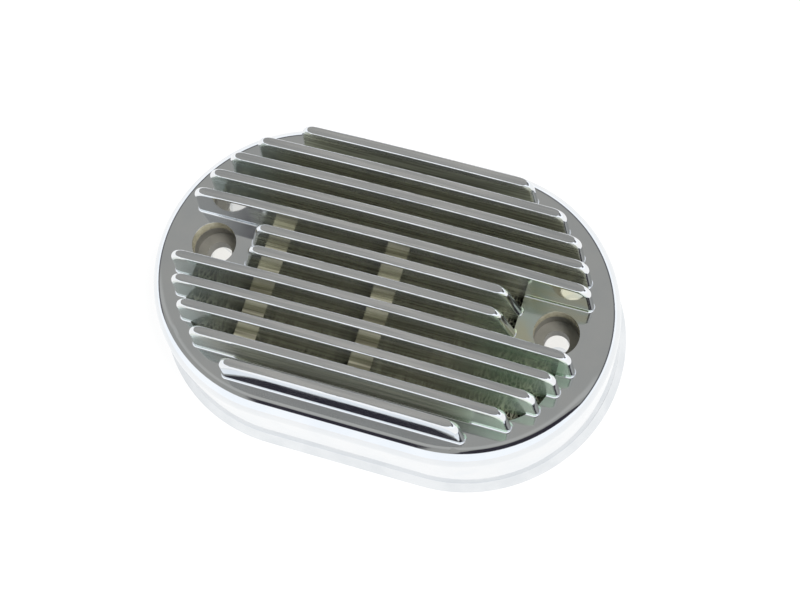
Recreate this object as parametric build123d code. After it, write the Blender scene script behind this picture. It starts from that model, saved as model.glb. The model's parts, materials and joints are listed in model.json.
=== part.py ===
"""Finned oval air filter housing for a small engine.

Frame: millimetres, +Z up through the fins, +X along the fins, origin at the middle of the
back plate's lower face. The housing lies on its back plate.
"""
import os
from math import atan2, degrees

from build123d import *

# ---- overall sizes -------------------------------------------------------
cover_length = 131.0
cover_width = 85.6
skirt_height = 22.2
plate_overhang = 1.8
plate_thickness = 3.4
plate_edge_height = 0.4

# ---- cover shell ---------------------------------------------------------
wall_thickness = 3.0
deck_thickness = 4.0
deck_edge_radius = 4.3
foot_edge_radius = 0.4

# ---- fins ----------------------------------------------------------------
outer_fin_inset = 8.04
fin_width = 2.6
fin_crown_height = 15.2
fin_sag_along = 3.0
fin_sag_across = 3.0
fin_shoulder_radius = 1.25
fin_flat_depth = 0.55
fin_flat_edge_radius = 0.35
fin_nose_radius = 4.5
fin_foot_radius = 0.5
fin_end_lean = 1.3
short_fin_end_lean = 4.0
fin_end_margin = 7.3
outer_fin_end_margin = 5.6
long_fins_each_side = 5
short_fin_landing = 0.8

# ---- window under the fins and its two cross ties ------------------------
window_end_inset = 13.5
window_corner_radius = 16.0
station_boss_gap = 2.15
end_tie_inset = 7.5
middle_tie_x = 1.9
tie_width = 6.2
tie_depth_below_crown = 10.7
tie_first_fin = 5
tie_last_fin = 11

# ---- screw stations ------------------------------------------------------
screw_inset = 16.35
screw_hole_radius = 3.5
counterbore_radius = 6.25
counterbore_depth = 8.0
boss_radius = 9.0
boss_floor = 4.0
sleeve_radius = 6.0

# ---- rim seal ------------------------------------------------------------
seal_width = 1.4
seal_depth = 1.2
seal_clearance = 0.05

# ---- filter pad and its support ------------------------------------------
clean_air_height = 7.4
pad_wall_gap = 0.4
boss_gap = 0.4
screen_thickness = 0.8
screen_wall_gap = 1.2
screen_hole_radius = 1.9
screen_hole_pitch = 5.6
screen_margin = 3.6
leg_width = 8.0
leg_foot = 3.0
leg_reach = 16.0
leg_thickness = 1.0

# ---- intake ring and carburettor face ------------------------------------
intake_radius = 20.0
ring_wall = 2.5
ring_flange_width = 4.7
ring_flange_thickness = 1.8
ring_screen_gap = 4.0
ring_lip_radius = 1.0
ring_plate_gap = 0.1
ring_screw_count = 4
ring_screw_radius = 1.2
ring_screw_head_height = 1.4
ring_screw_head_edge = 0.3
ring_screw_slot_width = 0.6
ring_screw_slot_depth = 0.7
ring_screw_tip_gap = 1.4
carb_bolt_count = 3
carb_hole_radius = 2.6
carb_hole_gap = 0.2
gasket_band = 4.5
gasket_thickness = 1.0
gasket_clearance = 0.1

# ---- heights, radii and places worked out from the sizes above -----------
foot_z = plate_thickness
deck_z = foot_z + skirt_height
deck_under_z = deck_z - deck_thickness
crown_z = deck_z + fin_crown_height
shoulder_z = deck_z - counterbore_depth
boss_end_z = shoulder_z - boss_floor
screen_under_z = foot_z + clean_air_height
pad_under_z = screen_under_z + screen_thickness
pad_thickness = deck_under_z - pad_under_z
ring_height = screen_under_z - ring_screen_gap
plate_length = cover_length + 2 * plate_overhang
plate_width = cover_width + 2 * plate_overhang
cavity_length = cover_length - 2 * wall_thickness
cavity_width = cover_width - 2 * wall_thickness
screw_x = cover_length / 2 - screw_inset
fin_count = 2 * (long_fins_each_side + 1)
fin_pitch = (cover_width - 2 * outer_fin_inset) / (fin_count - 1)
window_half_length = cover_length / 2 - window_end_inset
station_edge_x = screw_x - boss_radius - station_boss_gap
station_length = cover_length / 2 - station_edge_x
short_fin_reach = station_edge_x + short_fin_landing
tie_positions = (end_tie_inset - station_edge_x, middle_tie_x)
end_scale = cover_length / 2 - fin_end_margin
side_scale = cover_width / 2 - outer_fin_end_margin
end_centre = end_scale - side_scale
ring_tube_radius = intake_radius + ring_wall
ring_flange_radius = ring_tube_radius + ring_flange_width
ring_screw_circle = ring_tube_radius + ring_flange_width / 2
ring_screw_head_radius = ring_flange_width / 2 - ring_screw_head_edge
carb_bolt_circle = ring_flange_radius + carb_hole_gap + carb_hole_radius
gasket_outer_radius = carb_bolt_circle + gasket_band


def oval(length, width, bottom, height):
    """Straight-sided oval block."""
    return Pos(0, 0, bottom) * extrude(SlotOverall(length, width), height)


def post(x, y, radius, bottom, top):
    """Upright round bar between two heights."""
    return Pos(x, y, bottom) * extrude(Circle(radius), top - bottom)


def fin_y(number):
    """Middle of a fin, counted from the back."""
    return ((fin_count + 1) / 2 - number) * fin_pitch


def fin_end(number):
    """How far a fin's foot reaches from the middle, and how far its end leans back."""
    if abs(fin_y(number)) < fin_pitch:
        return short_fin_reach, short_fin_end_lean
    return end_centre + (side_scale ** 2 - fin_y(number) ** 2) ** 0.5, fin_end_lean


def fin_side(reach, lean, top):
    """Side view of a fin, from the deck's lower face up: leaning ends and a crowned top."""
    end_top = top - fin_sag_along * ((reach - lean) / (cover_length / 2)) ** 2
    foot = reach + lean * deck_thickness / fin_crown_height
    ends = Polyline(
        (-reach + lean, end_top),
        (-foot, deck_under_z),
        (foot, deck_under_z),
        (reach - lean, end_top),
    )
    crown = ThreePointArc((-reach + lean, end_top), (0, top), (reach - lean, end_top))
    return make_face(ends + crown)


def fin(number):
    """One fin: a round-shouldered blade, its top planed to a narrow flat with soft edges."""
    reach, lean = fin_end(number)
    y = fin_y(number)
    top = crown_z - fin_sag_across * (y / (cover_width / 2)) ** 2
    side = fin_side(reach, lean, top + fin_flat_depth)
    corners = side.vertices().sort_by(Axis.Y)[-2:]
    side = fillet(corners, fin_nose_radius)
    blade = Plane.XZ * extrude(side, fin_width / 2, both=True)
    rims = [
        edge
        for edge in blade.edges()
        if abs(abs(edge.center().Y) - fin_width / 2) < 0.01
        and edge.center().Z > deck_under_z + 0.01
    ]
    blade = fillet(rims, fin_shoulder_radius)
    blade &= Plane.XZ * extrude(fin_side(reach + lean, lean, top), fin_width, both=True)
    flat = blade.faces().sort_by(Axis.Z)[-1]
    return Pos(0, y, 0) * fillet(flat.edges(), fin_flat_edge_radius)


os.makedirs("parts", exist_ok=True)

# ---- finned cover --------------------------------------------------------
shell = oval(cover_length, cover_width, foot_z, skirt_height)
shell = fillet(shell.edges().group_by(Axis.Z)[-1], deck_edge_radius)
shell = fillet(shell.edges().group_by(Axis.Z)[0], foot_edge_radius)
shell -= oval(cavity_length, cavity_width, foot_z, deck_under_z - foot_z)
for side in (-1, 1):
    shell += post(side * screw_x, 0, boss_radius, boss_end_z, deck_z - deck_thickness / 2)
fins = [fin(number) for number in range(1, fin_count + 1)]
for blade in fins:
    shell += blade
feet = [
    edge
    for edge in shell.edges()
    if abs(edge.bounding_box().min.Z - deck_z) < 0.01
    and abs(edge.bounding_box().max.Z - deck_z) < 0.01
    and abs(edge.center().X) < end_scale
    and abs(edge.center().Y) < side_scale
]
shell = fillet(feet, fin_foot_radius)
window = RectangleRounded(2 * window_half_length, 2 * fin_y(2), window_corner_radius)
station = Rectangle(station_length, 2 * fin_y(long_fins_each_side))
for side in (-1, 1):
    window -= Pos(side * (station_edge_x + station_length / 2), 0) * station
shell -= Pos(0, 0, deck_under_z) * extrude(window, deck_thickness + fin_foot_radius)
for blade in fins:
    shell += blade
tie_length = fin_y(tie_first_fin) - fin_y(tie_last_fin)
tie_y = (fin_y(tie_first_fin) + fin_y(tie_last_fin)) / 2
tie_height = crown_z - tie_depth_below_crown - deck_under_z
for x in tie_positions:
    shell += Pos(x, tie_y, deck_under_z + tie_height / 2) * Box(tie_width, tie_length, tie_height)
for side in (-1, 1):
    shell -= post(side * screw_x, 0, screw_hole_radius, boss_end_z, crown_z)
    shell -= post(side * screw_x, 0, counterbore_radius, shoulder_z, crown_z)
export_step(shell, "parts/finned_cover.step")

# ---- back plate ----------------------------------------------------------
seal_length = cover_length - wall_thickness
seal_span = cover_width - wall_thickness
groove_width = seal_width + 2 * seal_clearance
flare_height = plate_thickness - plate_edge_height
flare_angle = degrees(atan2(plate_overhang, flare_height))
plate = oval(plate_length, plate_width, 0, plate_edge_height)
flare = extrude(SlotOverall(plate_length, plate_width), flare_height, taper=flare_angle)
plate += Pos(0, 0, plate_edge_height) * flare
groove_z = foot_z - seal_depth
groove = oval(seal_length + groove_width, seal_span + groove_width, groove_z, seal_depth)
groove -= oval(seal_length - groove_width, seal_span - groove_width, groove_z, seal_depth)
plate -= groove
plate -= post(0, 0, ring_tube_radius + ring_plate_gap, 0, plate_thickness)
plate -= post(0, 0, gasket_outer_radius + gasket_clearance, 0, gasket_thickness)
ring_screw_spots = PolarLocations(ring_screw_circle, ring_screw_count, 45)
carb_spots = PolarLocations(carb_bolt_circle, carb_bolt_count, 90)
screw_tip_z = ring_screw_tip_gap
for spot in ring_screw_spots:
    plate -= spot * post(0, 0, ring_screw_radius, screw_tip_z, plate_thickness)
for spot in carb_spots:
    plate -= spot * post(0, 0, carb_hole_radius, 0, plate_thickness)
for side in (-1, 1):
    plate -= post(side * screw_x, 0, screw_hole_radius, 0, plate_thickness)
export_step(plate, "parts/back_plate.step")

# ---- rim seal ------------------------------------------------------------
seal = oval(seal_length + seal_width, seal_span + seal_width, groove_z, seal_depth)
seal -= oval(seal_length - seal_width, seal_span - seal_width, groove_z, seal_depth)
export_step(seal, "parts/rim_seal.step")

# ---- spacer sleeves ------------------------------------------------------
sleeves = []
for side in (-1, 1):
    tube = post(side * screw_x, 0, sleeve_radius, foot_z, boss_end_z)
    tube -= post(side * screw_x, 0, screw_hole_radius, foot_z, boss_end_z)
    sleeves.append(tube)
export_step(Compound(children=sleeves), "parts/spacer_sleeves.step")

# ---- filter pad ----------------------------------------------------------
pad = oval(
    cavity_length - 2 * pad_wall_gap,
    cavity_width - 2 * pad_wall_gap,
    pad_under_z,
    pad_thickness,
)
for side in (-1, 1):
    pad -= post(side * screw_x, 0, boss_radius + boss_gap, pad_under_z, deck_under_z)
export_step(pad, "parts/filter_pad.step")

# ---- support screen ------------------------------------------------------
screen_length = cavity_length - 2 * screen_wall_gap
screen_width = cavity_width - 2 * screen_wall_gap
screen = SlotOverall(screen_length, screen_width)
field_radius = screen_width / 2 - screen_margin
field_centre = (screen_length - screen_width) / 2
row_step = screen_hole_pitch * 3 ** 0.5 / 2
row_count = int(field_radius / row_step)
column_count = int((field_centre + field_radius) / screen_hole_pitch)
holes = []
for row in range(-row_count, row_count + 1):
    shift = screen_hole_pitch / 2 * (row % 2)
    for column in range(-column_count, column_count + 1):
        x = column * screen_hole_pitch + shift
        y = row * row_step
        end_distance = (max(abs(x) - field_centre, 0) ** 2 + y ** 2) ** 0.5
        sleeve_distance = ((abs(x) - screw_x) ** 2 + y ** 2) ** 0.5
        leg_near = abs(abs(x) - leg_reach) < leg_width and abs(y) > screen_width / 2 - leg_width
        if end_distance > field_radius or leg_near:
            continue
        if sleeve_distance > boss_radius + screen_hole_radius + 2 * boss_gap:
            holes.append((x, y))
screen -= Locations(*holes) * Circle(screen_hole_radius)
for side in (-1, 1):
    screen -= Pos(side * screw_x, 0) * Circle(boss_radius + boss_gap)
screen = Pos(0, 0, screen_under_z) * extrude(screen, screen_thickness)
export_step(screen, "parts/support_screen.step")

# ---- screen legs ---------------------------------------------------------
leg_height = screen_under_z - foot_z
leg_side = Pos(-leg_thickness / 2, leg_height / 2) * Rectangle(leg_thickness, leg_height)
for z in (leg_thickness / 2, leg_height - leg_thickness / 2):
    leg_side += Pos(-leg_foot / 2, z) * Rectangle(leg_foot, leg_thickness)
inner_corners = [
    corner
    for corner in leg_side.vertices()
    if abs(corner.X + leg_thickness) < 0.01 and leg_thickness / 2 < corner.Y < leg_height - 0.1
]
leg_side = fillet(inner_corners, leg_thickness / 2)
leg = extrude(Plane.YZ * leg_side, leg_width / 2, both=True)
leg = Pos(0, screen_width / 2, foot_z) * leg
legs = []
for x in (-leg_reach, leg_reach):
    for turn in (0, 180):
        legs.append(Rot(0, 0, turn) * Pos(x, 0, 0) * leg)
export_step(Compound(children=legs), "parts/screen_legs.step")

# ---- intake ring and its screws ------------------------------------------
ring = post(0, 0, ring_tube_radius, 0, ring_height)
ring += post(0, 0, ring_flange_radius, foot_z, foot_z + ring_flange_thickness)
ring -= post(0, 0, intake_radius, 0, ring_height)
ring = fillet(ring.edges().group_by(Axis.Z)[-1], ring_lip_radius)
flange_top_z = foot_z + ring_flange_thickness
screws = []
for spot in ring_screw_spots:
    ring -= spot * post(0, 0, ring_screw_radius + ring_plate_gap, foot_z, flange_top_z)
    head_top_z = flange_top_z + ring_screw_head_height
    screw = post(0, 0, ring_screw_radius, screw_tip_z, flange_top_z)
    head = post(0, 0, ring_screw_head_radius, flange_top_z, head_top_z)
    screw += fillet(head.edges().group_by(Axis.Z)[-1], ring_screw_head_height / 2)
    slot_z = head_top_z - ring_screw_slot_depth / 2
    screw -= Pos(0, 0, slot_z) * Box(
        2 * ring_screw_head_radius, ring_screw_slot_width, ring_screw_slot_depth
    )
    screws.append(spot * screw)
export_step(ring, "parts/intake_ring.step")
export_step(Compound(children=screws), "parts/ring_screws.step")

# ---- carburettor gasket --------------------------------------------------
gasket = post(0, 0, gasket_outer_radius, 0, gasket_thickness)
gasket -= post(0, 0, ring_tube_radius + gasket_clearance, 0, gasket_thickness)
for spot in carb_spots:
    gasket -= spot * post(0, 0, carb_hole_radius, 0, gasket_thickness)
export_step(gasket, "parts/carb_gasket.step")
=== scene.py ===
import json
import math

import bpy
from mathutils import Matrix, Vector, noise


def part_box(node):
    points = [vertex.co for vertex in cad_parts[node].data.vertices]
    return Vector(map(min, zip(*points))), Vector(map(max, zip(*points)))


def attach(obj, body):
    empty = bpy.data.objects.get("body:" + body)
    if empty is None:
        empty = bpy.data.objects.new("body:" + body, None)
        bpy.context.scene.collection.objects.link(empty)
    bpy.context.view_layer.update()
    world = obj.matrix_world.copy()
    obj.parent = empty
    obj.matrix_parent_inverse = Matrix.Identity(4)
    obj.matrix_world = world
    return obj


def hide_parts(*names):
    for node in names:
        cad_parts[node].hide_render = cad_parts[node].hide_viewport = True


# Oval finned air filter housing lying on its back plate: finishes, foam, light and camera.
# Everything is in metres, in the housing's own frame: +X along the fins, +Z up.

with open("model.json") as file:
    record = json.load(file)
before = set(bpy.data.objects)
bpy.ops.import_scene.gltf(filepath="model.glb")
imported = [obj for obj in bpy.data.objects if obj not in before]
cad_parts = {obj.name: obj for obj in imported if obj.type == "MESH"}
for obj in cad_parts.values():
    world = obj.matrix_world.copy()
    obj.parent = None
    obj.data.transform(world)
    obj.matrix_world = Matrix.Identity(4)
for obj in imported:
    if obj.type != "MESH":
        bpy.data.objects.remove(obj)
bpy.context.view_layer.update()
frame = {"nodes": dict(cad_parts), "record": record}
nodes = frame["nodes"]
mounts = {mount["name"]: mount for mount in frame["record"]["mounts"]}

MM = 0.001
_, cover_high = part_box("finned_cover")
pad_low, pad_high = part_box("filter_pad")
fin_pitch = 6.32
deck_thickness = 4.0
tie_middles = (-30.5, 1.9)
tie_reach = 3.12
crown_z = cover_high.z / MM
tie_top_z = crown_z - 10.7
deck_under_z = pad_high.z / MM
deck_z = deck_under_z + deck_thickness
oval_centre = (cover_high.x - cover_high.y) / MM
skirt_reach = cover_high.y / MM
front_face_y = (-35.9, -35.6)
screw_x = mounts["cover_screw_holes"]["dims"]["spacing_x_mm"] / 2
counterbore_reach = mounts["screw_head_seat_right"]["dims"]["r_mm"]
window_reach_x = screw_x - 11.15
window_reach_y = 28.0


# ---- node tools ----------------------------------------------------------
def feed(tree, node, inputs):
    """Fill a node's sockets. inputs maps their names or numbers to values or other sockets."""
    for name, value in (inputs or {}).items():
        if isinstance(value, bpy.types.NodeSocket):
            tree.links.new(value, node.inputs[name])
        else:
            node.inputs[name].default_value = value


def place(tree, kind, inputs=None, **settings):
    """Add a node."""
    node = tree.nodes.new("ShaderNode" + kind)
    for name, value in settings.items():
        setattr(node, name, value)
    feed(tree, node, inputs)
    return node


def sum_up(tree, operation, *terms):
    """One arithmetic step on values or sockets."""
    return place(tree, "Math", dict(enumerate(terms)), operation=operation).outputs[0]


def ramp(tree, value, low, high, bottom=0.0, top=1.0):
    """Soft step from bottom to top while value goes from low to high."""
    inputs = {"Value": value, "From Min": low, "From Max": high, "To Min": bottom, "To Max": top}
    return place(tree, "MapRange", inputs, interpolation_type="SMOOTHSTEP").outputs[0]


def blend_colours(tree, share, first, second):
    """Colour between two others."""
    inputs = {0: share, 6: first, 7: second}
    return place(tree, "Mix", inputs, data_type="RGBA", blend_type="MIX").outputs[2]


def blend_values(tree, share, first, second):
    """Number between two others."""
    return place(tree, "Mix", {0: share, 2: first, 3: second}, data_type="FLOAT").outputs[0]


def bump(tree, height, depth, normal=None):
    """Surface relief. depth is in millimetres for a height of one."""
    inputs = {"Height": height, "Distance": depth * MM, "Strength": 1.0}
    if normal is not None:
        inputs["Normal"] = normal
    return place(tree, "Bump", inputs).outputs[0]


SOCKETS = {"value": "NodeSocketFloat", "vector": "NodeSocketVector", "colour": "NodeSocketColor"}


def finish_links(tree, shader, **sockets):
    """Join what varies over the surface to the shader."""
    for socket_name, source in sockets.items():
        tree.links.new(source, shader.inputs[socket_name.replace("_", " ")])


def open_group(name, takes, gives):
    """Start a shared effect. takes maps input names to (kind, default); gives names to kinds."""
    group = bpy.data.node_groups.new(name, "ShaderNodeTree")
    for socket_name, (kind, default) in takes.items():
        socket = group.interface.new_socket(
            name=socket_name, in_out="INPUT", socket_type=SOCKETS[kind]
        )
        if default is not None:
            socket.default_value = default
    for socket_name, kind in gives.items():
        group.interface.new_socket(name=socket_name, in_out="OUTPUT", socket_type=SOCKETS[kind])
    start = group.nodes.new("NodeGroupInput").outputs
    end = group.nodes.new("NodeGroupOutput").inputs
    return group, start, end


def use(tree, group, inputs=None):
    """Place a shared effect in a material."""
    node = tree.nodes.new("ShaderNodeGroup")
    node.node_tree = group
    feed(tree, node, inputs)
    return node.outputs


# ---- shared effects ------------------------------------------------------
def make_gauge():
    """Place on the part in millimetres, the way the surface faces, and the oval distance."""
    group, start, end = open_group(
        "gauge",
        {"Units per metre": ("value", 1000.0)},
        {
            "Place": "vector",
            "Along": "value",
            "Across": "value",
            "Height": "value",
            "Facing up": "value",
            "Facing across": "value",
            "Oval distance": "value",
        },
    )
    spot = place(group, "TexCoord").outputs["Object"]
    inputs = {0: spot, "Scale": start["Units per metre"]}
    place_mm = place(group, "VectorMath", inputs, operation="SCALE").outputs[0]
    axes = place(group, "SeparateXYZ", {0: place_mm}).outputs
    facing = place(group, "NewGeometry").outputs["True Normal"]
    facing_axes = place(group, "SeparateXYZ", {0: facing}).outputs
    facing_across = sum_up(group, "ABSOLUTE", facing_axes[1])
    beyond = sum_up(group, "SUBTRACT", sum_up(group, "ABSOLUTE", axes[0]), oval_centre)
    beyond = sum_up(group, "MAXIMUM", beyond, 0.0)
    beyond_squared = sum_up(group, "MULTIPLY", beyond, beyond)
    across_squared = sum_up(group, "MULTIPLY", axes[1], axes[1])
    distance = sum_up(group, "SQRT", sum_up(group, "ADD", beyond_squared, across_squared))
    results = {
        "Place": place_mm,
        "Along": axes[0],
        "Across": axes[1],
        "Height": axes[2],
        "Facing up": facing_axes[2],
        "Facing across": facing_across,
        "Oval distance": distance,
    }
    for name, value in results.items():
        group.links.new(value, end[name])
    return group


def make_cloud():
    """Soft uneven patches, such as haze on plating."""
    takes = {"Place": ("vector", None), "Size": ("value", 10.0), "Detail": ("value", 3.0)}
    group, start, end = open_group("cloudy_haze", takes, {"Value": "value"})
    scale = sum_up(group, "DIVIDE", 1.0, start["Size"])
    inputs = {"Vector": start["Place"], "Scale": scale, "Detail": start["Detail"]}
    cloud = place(group, "TexNoise", inputs).outputs[0]
    group.links.new(ramp(group, cloud, 0.3, 0.7), end["Value"])
    return group


def make_hairlines():
    """Fine straight polishing lines along one direction."""
    takes = {
        "Place": ("vector", None),
        "Stretch": ("vector", (0.04, 1.0, 1.0)),
        "Lines per mm": ("value", 6.0),
        "Unevenness": ("value", 0.5),
    }
    group, start, end = open_group("hairlines", takes, {"Height": "value", "Streaks": "value"})
    inputs = {0: start["Place"], 1: start["Stretch"]}
    stretched = place(group, "VectorMath", inputs, operation="MULTIPLY").outputs[0]
    inputs = {"Vector": stretched, "Scale": start["Lines per mm"], "Detail": 2.0}
    fine = place(group, "TexNoise", inputs).outputs[0]
    coarse_scale = sum_up(group, "MULTIPLY", start["Lines per mm"], 0.23)
    inputs = {"Vector": stretched, "Scale": coarse_scale, "Detail": 1.0}
    coarse = place(group, "TexNoise", inputs).outputs[0]
    height = blend_values(group, start["Unevenness"], fine, coarse)
    group.links.new(height, end["Height"])
    group.links.new(ramp(group, coarse, 0.35, 0.65), end["Streaks"])
    return group


def make_rings():
    """Tool rings left by turning, from a distance in millimetres."""
    takes = {
        "Distance": ("value", 0.0),
        "Place": ("vector", None),
        "Pitch": ("value", 0.3),
        "Unevenness": ("value", 0.15),
    }
    group, start, end = open_group("turned_rings", takes, {"Height": "value"})
    inputs = {"Vector": start["Place"], "Scale": 0.6, "Detail": 2.0}
    wander = place(group, "TexNoise", inputs).outputs[0]
    wander = sum_up(group, "MULTIPLY", wander, start["Unevenness"])
    run = sum_up(group, "ADD", start["Distance"], wander)
    turns = sum_up(group, "DIVIDE", run, start["Pitch"])
    wave = sum_up(group, "SINE", sum_up(group, "MULTIPLY", turns, 2 * math.pi))
    group.links.new(ramp(group, wave, -1.0, 1.0), end["Height"])
    return group


def make_specks():
    """Scattered small pits or dust specks."""
    takes = {"Place": ("vector", None), "Spacing": ("value", 3.0), "Size": ("value", 0.12)}
    group, start, end = open_group("scattered_specks", takes, {"Mask": "value"})
    scale = sum_up(group, "DIVIDE", 1.0, start["Spacing"])
    cells = place(group, "TexVoronoi", {"Vector": start["Place"], "Scale": scale}).outputs
    seed = place(group, "SeparateXYZ", {0: cells["Color"]}).outputs[0]
    reach = sum_up(group, "MULTIPLY", seed, start["Size"])
    mask = sum_up(group, "LESS_THAN", cells["Distance"], reach)
    group.links.new(mask, end["Mask"])
    return group


def make_edge_rub():
    """Where edges stand proud and have been rubbed bright."""
    takes = {"Start": ("value", 0.52), "Full": ("value", 0.62)}
    group, start, end = open_group("edge_rub", takes, {"Mask": "value"})
    sharpness = place(group, "NewGeometry").outputs["Pointiness"]
    group.links.new(ramp(group, sharpness, start["Start"], start["Full"]), end["Mask"])
    return group


GAUGE = make_gauge()
CLOUD = make_cloud()
HAIRLINES = make_hairlines()
RINGS = make_rings()
SPECKS = make_specks()
EDGE_RUB = make_edge_rub()


def start_finish(name, **constants):
    """New material. constants are set straight on the shader's own sockets."""
    material = bpy.data.materials.new(name)
    material.use_nodes = True
    tree = material.node_tree
    shader = tree.nodes["Principled BSDF"]
    for socket_name, value in constants.items():
        shader.inputs[socket_name.replace("_", " ")].default_value = value
    return material, tree, shader


def dress(material, *names):
    """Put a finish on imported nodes."""
    for name in names:
        nodes[name].data.materials.clear()
        nodes[name].data.materials.append(material)


def between(tree, value, low, high, edge=0.05):
    """One inside a band of values, zero outside, with a narrow soft edge."""
    rise = ramp(tree, value, low - edge, low + edge)
    fall = ramp(tree, value, high - edge, high + edge, 1.0, 0.0)
    return sum_up(tree, "MULTIPLY", rise, fall)


def both(tree, *masks):
    """Where every mask holds."""
    result = masks[0]
    for mask in masks[1:]:
        result = sum_up(tree, "MULTIPLY", result, mask)
    return result


# ---- plated finishes -----------------------------------------------------
def make_plated_cover():
    """Bright plating, thin and dull in the recesses with painted shade that deepens down into
    the fin gaps, with satin planed fin tops.
    """
    material, tree, shader = start_finish("plated_cover")
    gauge = use(tree, GAUGE)
    spot, along, across = gauge["Place"], gauge["Along"], gauge["Across"]
    height, facing, oval = gauge["Height"], gauge["Facing up"], gauge["Oval distance"]

    aside = sum_up(tree, "ABSOLUTE", along)
    off_middle = sum_up(tree, "ABSOLUTE", across)
    flat = ramp(tree, facing, 0.9, 0.95)

    fin_top = both(
        tree,
        ramp(tree, facing, 0.93, 0.985),
        ramp(tree, height, deck_z + 8, deck_z + 9),
    )
    tie_bands = [
        between(tree, along, middle - tie_reach, middle + tie_reach, 0.01)
        for middle in tie_middles
    ]
    tie_band = sum_up(tree, "MAXIMUM", *tie_bands)
    tie_top = both(
        tree,
        tie_band,
        flat,
        between(tree, height, tie_top_z - 1.0, tie_top_z + 1.0),
    )
    side_step = sum_up(tree, "SUBTRACT", aside, screw_x)
    side_squared = sum_up(tree, "MULTIPLY", side_step, side_step)
    across_squared = sum_up(tree, "MULTIPLY", across, across)
    screw_distance = sum_up(tree, "SQRT", sum_up(tree, "ADD", side_squared, across_squared))
    counterbore = both(
        tree,
        ramp(tree, screw_distance, counterbore_reach + 0.05, counterbore_reach + 0.15, 1.0, 0.0),
        ramp(tree, height, deck_z - 0.25, deck_z - 0.05, 1.0, 0.0),
    )
    inside = both(
        tree,
        ramp(tree, height, deck_under_z - 0.1, deck_under_z + 0.1, 1.0, 0.0),
        ramp(tree, oval, skirt_reach - 1.5, skirt_reach - 1.0, 1.0, 0.0),
    )
    side_wall = ramp(tree, gauge["Facing across"], 0.80, 0.95)
    front_wall = both(
        tree,
        side_wall,
        ramp(tree, height, deck_z, deck_z + 0.3),
        ramp(tree, across, *front_face_y, 1.0, 0.0),
    )
    station_wall = both(
        tree,
        side_wall,
        ramp(tree, aside, 37.0, 41.0),
        ramp(tree, off_middle, 8.6, 8.9, 1.0, 0.0),
    )
    # Fin walls in the gaps; the mask fades to 0.35 towards the crown, so the dull tint put on it
    # is painted shade, strongest deep in the gaps.
    fin_wall = both(
        tree,
        side_wall,
        sum_up(tree, "SUBTRACT", 1.0, station_wall),
        ramp(tree, height, deck_under_z, deck_under_z + 0.5),
        ramp(tree, oval, skirt_reach - 4.0, skirt_reach - 3.0, 1.0, 0.0),
        ramp(tree, height, crown_z - 5.5, crown_z - 2.5, 1.0, 0.35),
        ramp(tree, across, *front_face_y),
    )
    teal_end = both(tree, fin_wall, ramp(tree, along, -46.0, -30.0, 1.0, 0.0))
    green_end = both(
        tree,
        fin_wall,
        ramp(tree, along, 20.0, 44.0),
        ramp(tree, across, 8.0, -6.0),
    )
    stained_deck = both(
        tree,
        flat,
        between(tree, height, deck_z - 0.3, deck_z + 0.3),
        ramp(tree, along, 28.0, 34.0),
        ramp(tree, along, 40.0, 50.0, 1.0, 0.0),
        ramp(tree, off_middle, 9.0, 13.0, 1.0, 0.0),
    )
    stained_wall = both(
        tree,
        station_wall,
        ramp(tree, along, 0.0, 1.0),
        ramp(tree, height, 20.0, 21.0),
    )

    cloud = use(tree, CLOUD, {"Place": spot, "Size": 9.0})["Value"]
    fine_cloud = use(tree, CLOUD, {"Place": spot, "Size": 1.6})["Value"]
    lines = use(tree, HAIRLINES, {"Place": spot, "Lines per mm": 4.0})
    cross = use(
        tree, HAIRLINES, {"Place": spot, "Stretch": (0.6, 0.05, 0.6), "Lines per mm": 3.0}
    )
    drawn = use(
        tree,
        HAIRLINES,
        {"Place": spot, "Stretch": (0.012, 1.0, 1.0), "Lines per mm": 1.1, "Unevenness": 0.7},
    )

    plating = blend_colours(tree, cloud, (0.76, 0.785, 0.81, 1), (0.80, 0.815, 0.83, 1))
    satin = blend_colours(tree, lines["Streaks"], (0.68, 0.70, 0.72, 1), (0.76, 0.77, 0.78, 1))
    worn = blend_colours(tree, lines["Streaks"], (0.80, 0.81, 0.82, 1), (0.92, 0.92, 0.92, 1))
    middle = ramp(tree, aside, 12.0, 46.0, 1.0, 0.0)
    satin = blend_colours(tree, middle, satin, worn)
    # Dull olive wall colour: thin plating plus painted shade in the fin gaps.
    dull_shaded_wall = blend_colours(tree, lines["Streaks"], (0.40, 0.41, 0.34, 1), (0.68, 0.70, 0.58, 1))
    teal = blend_colours(tree, cloud, (0.56, 0.64, 0.61, 1), (0.64, 0.69, 0.67, 1))
    green = blend_colours(tree, cloud, (0.54, 0.72, 0.56, 1), (0.66, 0.80, 0.66, 1))
    stain = blend_colours(tree, cloud, (0.78, 0.77, 0.58, 1), (0.70, 0.80, 0.74, 1))
    bare = blend_colours(tree, lines["Streaks"], (0.16, 0.155, 0.11, 1), (0.52, 0.51, 0.41, 1))
    bore = blend_colours(tree, fine_cloud, (0.52, 0.49, 0.35, 1), (0.68, 0.65, 0.50, 1))
    cast = blend_colours(tree, cloud, (0.26, 0.26, 0.24, 1), (0.36, 0.35, 0.32, 1))

    colour = plating
    roughness = blend_values(tree, cloud, 0.05, 0.09)
    steps = (
        (fin_wall, dull_shaded_wall, 0.24),
        (teal_end, teal, 0.12),
        (green_end, green, 0.14),
        (stained_deck, stain, 0.12),
        (stained_wall, stain, 0.07),
        (fin_top, satin, 0.27),
        (counterbore, bore, 0.26),
        (tie_top, bare, 0.50),
        (inside, cast, 0.45),
    )
    for mask, tint, rough in steps:
        colour = blend_colours(tree, mask, colour, tint)
        roughness = blend_values(tree, mask, roughness, rough)
    metal = 1.0
    for mask, dullness in ((tie_top, 0.70), (fin_wall, 0.35), (counterbore, 0.45)):
        metal = sum_up(tree, "SUBTRACT", metal, sum_up(tree, "MULTIPLY", mask, dullness))

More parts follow.
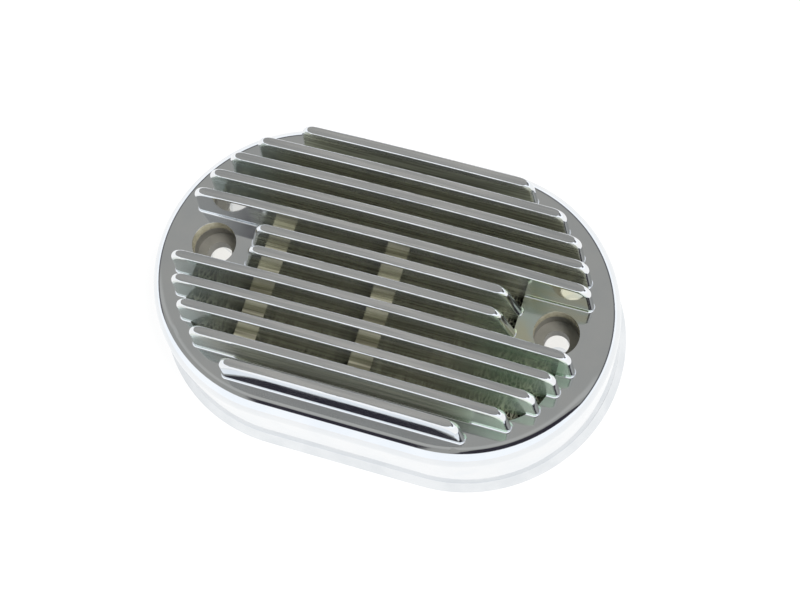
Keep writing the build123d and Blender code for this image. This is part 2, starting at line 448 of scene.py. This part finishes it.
    normal = None
    reliefs = ((cross, fin_top, 0.012), (lines, tie_top, 0.05), (drawn, fin_wall, 0.04))
    for marks, mask, depth in reliefs:
        relief = sum_up(tree, "MULTIPLY", marks["Height"], mask)
        normal = bump(tree, relief, depth, normal)
    below_crown = sum_up(tree, "SUBTRACT", crown_z, height)
    draft = sum_up(tree, "MULTIPLY", below_crown, math.tan(math.radians(2.2)))
    inputs = {0: front_wall, 4: normal, 5: bump(tree, draft, 1.0)}
    normal = place(tree, "Mix", inputs, data_type="VECTOR").outputs[1]
    normal = place(tree, "VectorMath", {0: normal}, operation="NORMALIZE").outputs[0]
    finish_links(
        tree, shader, Base_Color=colour, Roughness=roughness, Metallic=metal, Normal=normal
    )
    return material


def make_plated_plate():
    """Bright plating on the back plate."""
    material, tree, shader = start_finish("plated_plate", Metallic=1.0)
    gauge = use(tree, GAUGE)
    cloud = use(tree, CLOUD, {"Place": gauge["Place"], "Size": 7.0})["Value"]
    colour = blend_colours(tree, cloud, (0.72, 0.745, 0.77, 1), (0.78, 0.80, 0.82, 1))
    roughness = blend_values(tree, cloud, 0.06, 0.12)
    lines = use(tree, HAIRLINES, {"Place": gauge["Place"], "Lines per mm": 3.0})
    normal = bump(tree, lines["Height"], 0.004)
    finish_links(tree, shader, Base_Color=colour, Roughness=roughness, Normal=normal)
    return material


dress(make_plated_cover(), "finned_cover")
dress(make_plated_plate(), "back_plate")


# ---- small inner parts ---------------------------------------------------
def make_seal_rubber():
    """Dull black rubber with a fine grain."""
    material, tree, shader = start_finish("seal_rubber")
    gauge = use(tree, GAUGE)
    cloud = use(tree, CLOUD, {"Place": gauge["Place"], "Size": 2.0})["Value"]
    grain = use(tree, CLOUD, {"Place": gauge["Place"], "Size": 0.25})["Value"]
    colour = blend_colours(tree, cloud, (0.018, 0.018, 0.019, 1), (0.035, 0.034, 0.033, 1))
    roughness = blend_values(tree, cloud, 0.6, 0.8)
    normal = bump(tree, grain, 0.03)
    finish_links(tree, shader, Base_Color=colour, Roughness=roughness, Normal=normal)
    return material


def make_turned_metal(name, dark, light, rough, pitch, depth):
    """Turned or drawn metal with tool rings and rubbed edges."""
    material, tree, shader = start_finish(name, Metallic=1.0)
    gauge = use(tree, GAUGE)
    cloud = use(tree, CLOUD, {"Place": gauge["Place"], "Size": 3.0})["Value"]
    rub = use(tree, EDGE_RUB)["Mask"]
    inputs = {"Distance": gauge["Height"], "Place": gauge["Place"], "Pitch": pitch}
    rings = use(tree, RINGS, inputs)["Height"]
    colour = blend_colours(tree, cloud, dark, light)
    colour = blend_colours(tree, rub, colour, light)
    roughness = blend_values(tree, cloud, rough, rough * 1.6)
    normal = bump(tree, rings, depth)
    finish_links(tree, shader, Base_Color=colour, Roughness=roughness, Normal=normal)
    return material


def make_zinc_sheet():
    """Zinc plated sheet with faint crystal patches."""
    material, tree, shader = start_finish("zinc_sheet", Metallic=1.0)
    gauge = use(tree, GAUGE)
    inputs = {"Vector": gauge["Place"], "Scale": 0.22}
    crystal = place(tree, "TexVoronoi", inputs).outputs["Color"]
    tone = place(tree, "SeparateXYZ", {0: crystal}).outputs[0]
    specks = use(tree, SPECKS, {"Place": gauge["Place"], "Spacing": 2.4})["Mask"]
    colour = blend_colours(tree, tone, (0.48, 0.49, 0.48, 1), (0.62, 0.62, 0.60, 1))
    colour = blend_colours(tree, specks, colour, (0.30, 0.29, 0.27, 1))
    roughness = blend_values(tree, tone, 0.28, 0.45)
    normal = bump(tree, specks, -0.02)
    finish_links(tree, shader, Base_Color=colour, Roughness=roughness, Normal=normal)
    return material


def make_gasket_fibre():
    """Pressed fibre sheet."""
    material, tree, shader = start_finish("gasket_fibre")
    gauge = use(tree, GAUGE)
    inputs = {"Place": gauge["Place"], "Stretch": (0.25, 1.0, 1.0), "Lines per mm": 2.2}
    fibres = use(tree, HAIRLINES, inputs)
    specks = use(tree, SPECKS, {"Place": gauge["Place"], "Spacing": 1.3, "Size": 0.2})["Mask"]
    colour = blend_colours(tree, fibres["Streaks"], (0.15, 0.11, 0.08, 1), (0.24, 0.19, 0.14, 1))
    colour = blend_colours(tree, specks, colour, (0.33, 0.28, 0.21, 1))
    roughness = blend_values(tree, fibres["Streaks"], 0.7, 0.9)
    normal = bump(tree, fibres["Height"], 0.06)
    finish_links(tree, shader, Base_Color=colour, Roughness=roughness, Normal=normal)
    return material


sleeve_steel = make_turned_metal(
    "sleeve_steel", (0.82, 0.81, 0.76, 1), (0.90, 0.89, 0.85, 1), 0.08, 0.25, 0.002
)
ring_aluminium = make_turned_metal(
    "ring_aluminium", (0.68, 0.69, 0.70, 1), (0.80, 0.80, 0.80, 1), 0.22, 0.2, 0.004
)
screw_steel = make_turned_metal(
    "screw_steel", (0.50, 0.50, 0.47, 1), (0.68, 0.67, 0.62, 1), 0.25, 0.4, 0.004
)
dress(make_seal_rubber(), "rim_seal")
dress(sleeve_steel, "spacer_sleeves")
dress(ring_aluminium, "intake_ring")
dress(screw_steel, "ring_screws")
dress(make_zinc_sheet(), "support_screen", "screen_legs")
dress(make_gasket_fibre(), "carb_gasket")


# ---- foam pad ------------------------------------------------------------
def make_foam():
    """Dark open-cell foam, with the pores painted near-black as painted shade inside the cells.
    """
    material, tree, shader = start_finish("filter_foam", Specular_IOR_Level=0.25)
    gauge = use(tree, GAUGE)
    inputs = {"Vector": gauge["Place"], "Scale": 0.95, "Randomness": 0.9}
    cells = place(tree, "TexVoronoi", inputs, feature="DISTANCE_TO_EDGE").outputs["Distance"]
    strand = ramp(tree, cells, 0.03, 0.22, 1.0, 0.0)
    cloud = use(tree, CLOUD, {"Place": gauge["Place"], "Size": 12.0})["Value"]
    tint = blend_colours(tree, cloud, (0.26, 0.27, 0.21, 1), (0.38, 0.38, 0.30, 1))
    # Near-black pores: painted shade inside the foam cells; the strands carry the foam's own
    # olive tint.
    colour = blend_colours(tree, strand, (0.03, 0.028, 0.022, 1), tint)
    roughness = blend_values(tree, strand, 0.95, 0.6)
    normal = bump(tree, strand, 0.35)
    finish_links(tree, shader, Base_Color=colour, Roughness=roughness, Normal=normal)
    return material


def add_object(name, data):
    """New object in the scene."""
    thing = bpy.data.objects.new(name, data)
    bpy.context.scene.collection.objects.link(thing)
    return thing


def swell(x, y, z):
    """Where a point of the foam goes, in millimetres. It rises a little between the fins."""
    pore = 0.5 + 0.5 * noise.noise(Vector((x, y, z)) * 0.9)
    if z > deck_under_z - 0.7:
        wave = 0.5 + 0.5 * math.cos(2 * math.pi * (y / fin_pitch))
        free_x = min(max((window_reach_x - abs(x)) / 2, 0), 1)
        free_y = min(max((window_reach_y - abs(y)) / 2, 0), 1)
        z += -0.25 + 0.55 * wave * free_x * free_y - 0.25 * pore
    elif z < pad_low.z / MM + 0.7:
        z += 0.1 + 0.25 * pore
    else:
        outward = Vector((max(abs(x) - oval_centre, 0) * (1 if x > 0 else -1), y, 0))
        if outward.length > skirt_reach - 6:
            outward.normalize()
            x -= outward.x * (0.15 + 0.5 * pore)
            y -= outward.y * (0.15 + 0.5 * pore)
    return Vector((x, y, z))


def make_foam_pad():
    """Foam pad held flat under the deck, with an uneven cut surface."""
    pad = add_object("foam_pad", nodes["filter_pad"].data.copy())
    pad.data.name = "foam_pad"
    remesh = pad.modifiers.new("even_faces", "REMESH")
    remesh.mode = "VOXEL"
    remesh.voxel_size = 0.9 * MM
    depsgraph = bpy.context.evaluated_depsgraph_get()
    even = bpy.data.meshes.new_from_object(pad.evaluated_get(depsgraph))
    pad.modifiers.clear()
    pad.data = even
    for vertex in even.vertices:
        vertex.co = swell(*(vertex.co / MM)) * MM
    even.materials.clear()
    even.materials.append(make_foam())
    for face in even.polygons:
        face.use_smooth = True
    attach(pad, "root")
    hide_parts("filter_pad")


make_foam_pad()


# ---- camera --------------------------------------------------------------
def make_camera():
    """Long lens above the front, a little to the right."""
    eye = Vector((0.09324, -0.13618, cover_high.z + 0.41064))
    right = Vector((0.94857, 0.30035, -0.09998))
    up = Vector((-0.25169, 0.90715, 0.33724))
    lens = bpy.data.cameras.new("studio_lens")
    lens.sensor_width = 36.0
    lens.lens = 75.5865
    lens.clip_start = 0.01
    camera = add_object("studio_camera", lens)
    turn = Matrix((right, up, right.cross(up))).transposed().to_4x4()
    camera.matrix_world = Matrix.Translation(eye) @ turn
    bpy.context.scene.camera = camera


make_camera()


# ---- floor and light -----------------------------------------------------
def make_floor():
    """Lit white table top."""
    reach = 3.0
    corners = [(-reach, -reach, 0), (reach, -reach, 0), (reach, reach, 0), (-reach, reach, 0)]
    mesh = bpy.data.meshes.new("table_top")
    mesh.from_pydata(corners, [], [(0, 1, 2, 3)])
    table_white, _, _ = start_finish(
        "table_white",
        Base_Color=(0.12, 0.12, 0.12, 1),
        Roughness=0.9,
        Specular_IOR_Level=0.0,
        Emission_Color=(1.0, 1.0, 1.0, 1),
        Emission_Strength=0.92,
    )
    mesh.materials.append(table_white)
    add_object("table_top", mesh)


def make_studio():
    """White light tent with an opening at the top, grey behind it and dark in front."""
    world = bpy.data.worlds.new("light_tent")
    world.use_nodes = True
    tree = world.node_tree
    background = tree.nodes["Background"]
    way = place(tree, "TexCoord").outputs["Generated"]
    way = place(tree, "VectorMath", {0: way}, operation="NORMALIZE").outputs[0]
    parts = place(tree, "SeparateXYZ", {0: way}).outputs
    rise = sum_up(tree, "MAXIMUM", parts[2], 0.05)
    forward = sum_up(tree, "DIVIDE", parts[1], rise)
    in_opening = both(tree, ramp(tree, forward, -0.70, -0.62), ramp(tree, parts[2], 0.24, 0.28))
    lip = both(tree, ramp(tree, parts[1], 0.16, 0.02), ramp(tree, parts[1], -0.10, -0.06))
    grey = blend_colours(tree, lip, (0.36, 0.36, 0.345, 1), (0.46, 0.46, 0.445, 1))
    rim = ramp(tree, parts[2], 0.34, 0.50, 1.0, 0.0)
    grey = blend_colours(tree, rim, grey, (0.10, 0.10, 0.11, 1))
    panel = between(tree, parts[0], -0.125, 0.03, 0.01)
    dark_side = both(
        tree,
        ramp(tree, parts[1], -0.15, -0.18),
        ramp(tree, parts[0], -0.305, -0.275),
        sum_up(tree, "SUBTRACT", 1.0, panel),
    )
    ceiling = blend_colours(tree, dark_side, grey, (0.034, 0.031, 0.042, 1))
    light = blend_colours(tree, in_opening, (1.15, 1.18, 1.22, 1), ceiling)
    tree.links.new(light, background.inputs["Color"])
    bpy.context.scene.world = world


def make_lamp():
    """Soft lamp high on the right, which reaches down between the fins."""
    lamp = bpy.data.lights.new("overhead_lamp", "SUN")
    lamp.energy = 3.6
    lamp.angle = math.radians(24)
    lamp.color = (1.0, 0.98, 0.94)
    light = add_object("overhead_lamp", lamp)
    direction = Vector((0.50, -0.05, 0.86))
    light.rotation_euler = direction.to_track_quat("Z", "Y").to_euler()
    light.visible_glossy = False


make_floor()
make_studio()
make_lamp()
bpy.context.scene.view_settings.view_transform = "Standard"
